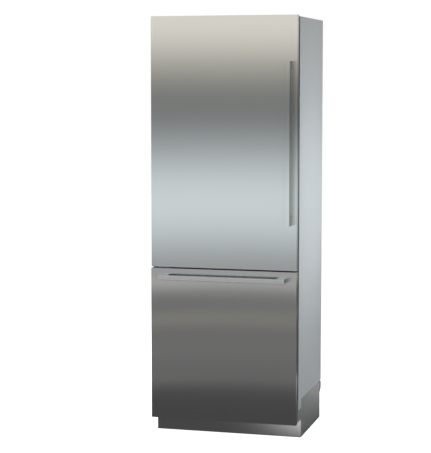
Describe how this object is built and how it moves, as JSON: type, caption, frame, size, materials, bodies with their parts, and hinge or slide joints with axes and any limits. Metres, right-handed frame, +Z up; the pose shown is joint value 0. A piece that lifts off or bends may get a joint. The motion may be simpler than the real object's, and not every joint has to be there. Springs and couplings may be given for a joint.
{
  "type": "bottom freezer refrigerator",
  "caption": "Tall refrigerator with a hinged upper door over a pull-out freezer drawer, brushed steel fronts with square bar handles, a grey steel cabinet and a recessed toe-kick base.",
  "frame": {"origin": "on the floor, in the middle of the overall width and depth", "axes": "+Z up, the door and drawer face -Y, +X to the right seen from the front"},
  "size_m": [0.762, 0.684, 2.1306],
  "materials": {
    "brushed_stainless": "satin",
    "cabinet_steel": "satin",
    "base_steel": "satin",
    "kick_steel": "satin",
    "zinc_steel": "satin",
    "insulation_foam": "matte",
    "white_liner": "satin",
    "seal_grey": "matte",
    "shelf_glass": "gloss",
    "trim_aluminium": "satin",
    "clear_bin": "gloss",
    "freezer_bin": "gloss",
    "black_plastic": "matte",
    "grey_plastic": "matte",
    "white_plastic": "satin",
    "light_diffuser": "satin",
    "control_black": "gloss",
    "compressor_black": "gloss",
    "coil_aluminium": "satin",
    "copper_pipe": "satin",
    "grommet_rubber": "matte"
  },
  "bodies": {
    "cabinet": {"left_side_panel": "cabinet_steel", "right_side_panel": "cabinet_steel", "top_panel": "cabinet_steel", "back_panel": "cabinet_steel", "cabinet_floor": "cabinet_steel", "front_frame": "cabinet_steel", "base_tray": "base_steel", "rear_cover": "base_steel", "lower_side_covers": "base_steel", "toe_kick": "kick_steel", "upper_hinge": "zinc_steel", "lower_hinge": "zinc_steel", "hinge_screws": "zinc_steel", "slide_fixed": "zinc_steel", "roller_brackets": "zinc_steel", "cabinet_foam": "insulation_foam", "fridge_liner": "white_liner", "freezer_liner": "white_liner", "shelf_glass": "shelf_glass", "shelf_trims": "trim_aluminium", "condenser_fan_frame": "black_plastic", "power_inlet": "black_plastic", "rear_spacers": "black_plastic", "drain_pan": "grey_plastic", "fridge_air_panel": "white_plastic", "evaporator_cover": "white_plastic", "light_strips": "light_diffuser", "control_panel": "control_black", "compressor": "compressor_black", "condenser": "coil_aluminium", "evaporator": "coil_aluminium", "discharge_pipe": "copper_pipe", "compressor_grommets": "grommet_rubber"},
    "door": {"door_skin": "brushed_stainless", "door_foam": "insulation_foam", "door_liner": "white_liner", "door_seal": "seal_grey", "door_end_caps": "grey_plastic", "door_handle_bar": "brushed_stainless", "door_handle_blocks": "brushed_stainless", "hinge_bushes": "white_plastic", "door_bins": "clear_bin"},
    "freezer_drawer": {"drawer_skin": "brushed_stainless", "drawer_foam": "insulation_foam", "drawer_liner": "white_liner", "drawer_seal": "seal_grey", "drawer_handle_bar": "brushed_stainless", "drawer_handle_blocks": "brushed_stainless", "slide_inner": "zinc_steel", "freezer_basket": "freezer_bin"},
    "slide_middle": {"slide_middle": "zinc_steel"},
    "freezer_tray": {"freezer_tray": "freezer_bin"},
    "crisper_lower": {"crisper_lower": "clear_bin"},
    "crisper_upper": {"crisper_upper": "clear_bin"},
    "evaporator_fan": {"evaporator_fan": "black_plastic"},
    "condenser_fan": {"condenser_fan": "black_plastic"},
    "roller_left": {"roller_left": "grey_plastic"},
    "roller_right": {"roller_right": "grey_plastic"},
    "foot_left": {"foot_left": "zinc_steel"},
    "foot_right": {"foot_right": "zinc_steel"}
  },
  "joints": [
    {"name": "door_hinge", "type": "hinge", "parent": "cabinet", "child": "door", "pos_m": [-0.362, -0.27, 1.498], "axis": [0, 0, -1], "range_deg": [0, 110]},
    {"name": "freezer_slide", "type": "slide", "parent": "cabinet", "child": "freezer_drawer", "axis": [0, -1, 0], "range_m": [0, 0.4]},
    {"name": "slide_middle_run", "type": "slide", "parent": "cabinet", "child": "slide_middle", "axis": [0, -1, 0], "range_m": [0, 0.201]},
    {"name": "freezer_tray_slide", "type": "slide", "parent": "cabinet", "child": "freezer_tray", "axis": [0, -1, 0], "range_m": [0, 0.241]},
    {"name": "crisper_lower_slide", "type": "slide", "parent": "cabinet", "child": "crisper_lower", "axis": [0, -1, 0], "range_m": [0, 0.203]},
    {"name": "crisper_upper_slide", "type": "slide", "parent": "cabinet", "child": "crisper_upper", "axis": [0, -1, 0], "range_m": [0, 0.203]},
    {"name": "evaporator_fan_spin", "type": "hinge", "parent": "cabinet", "child": "evaporator_fan", "pos_m": [0, 0.2403, 0.7315], "axis": [0, 1, 0], "continuous": true},
    {"name": "condenser_fan_spin", "type": "hinge", "parent": "cabinet", "child": "condenser_fan", "pos_m": [0.177, -0.0372, 0.086], "axis": [0, 1, 0], "continuous": true},
    {"name": "roller_left_spin", "type": "hinge", "parent": "cabinet", "child": "roller_left", "pos_m": [-0.34, 0.27, 0.02], "axis": [1, 0, 0], "continuous": true},
    {"name": "roller_right_spin", "type": "hinge", "parent": "cabinet", "child": "roller_right", "pos_m": [0.34, 0.27, 0.02], "axis": [1, 0, 0], "continuous": true},
    {"name": "foot_left_turn", "type": "hinge", "parent": "cabinet", "child": "foot_left", "pos_m": [-0.346, -0.132, 0.01], "axis": [0, 0, 1], "continuous": true},
    {"name": "foot_right_turn", "type": "hinge", "parent": "cabinet", "child": "foot_right", "pos_m": [0.346, -0.132, 0.01], "axis": [0, 0, 1], "continuous": true}
  ],
  "couplings": [
    {"joint": "slide_middle_run", "follows": "freezer_slide", "ratio": 0.5},
    {"joint": "freezer_tray_slide", "follows": "freezer_slide", "ratio": 0.6},
    {"joint": "crisper_lower_slide", "follows": "door_hinge", "m_per_rad": 0.105},
    {"joint": "crisper_upper_slide", "follows": "door_hinge", "m_per_rad": 0.105}
  ]
}
